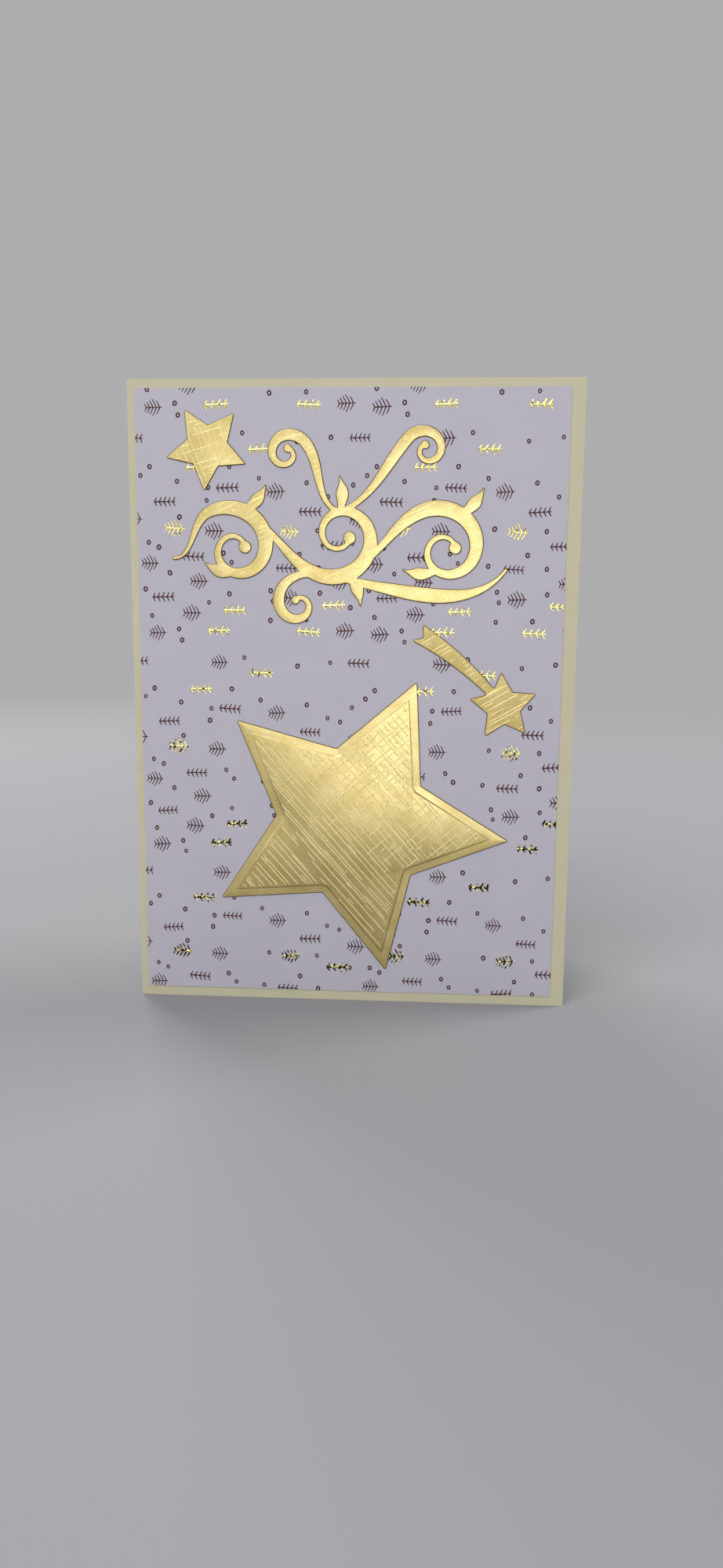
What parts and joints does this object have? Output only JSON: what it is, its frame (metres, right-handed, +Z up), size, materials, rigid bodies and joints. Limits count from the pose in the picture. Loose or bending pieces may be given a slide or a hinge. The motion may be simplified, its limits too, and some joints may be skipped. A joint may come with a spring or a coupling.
{
  "type": "greeting card",
  "caption": "Folded portrait greeting card standing open like a V, its front covered in patterned paper with glued gold stars, a shooting star and a scroll flourish.",
  "frame": {"origin": "on the surface that the card stands on, in the middle of its footprint's bounding box", "axes": "+Z up, along the fold; +X right as seen from the front, from the fold towards the free edges; -Y is the way the decorated front looks"},
  "size_m": [0.105, 0.0618, 0.148],
  "materials": {
    "cream_card": "matt, lightly fibrous",
    "lavender_paper": "matt, printed with small twigs and rings",
    "gold_card": "metallic gold, embossed with fine lines"
  },
  "bodies": {
    "root": {"card_base": "cream_card", "patterned_panel": "lavender_paper", "large_star": "gold_card", "small_star": "gold_card", "shooting_star": "gold_card", "flourish": "gold_card"}
  },
  "joints": []
}
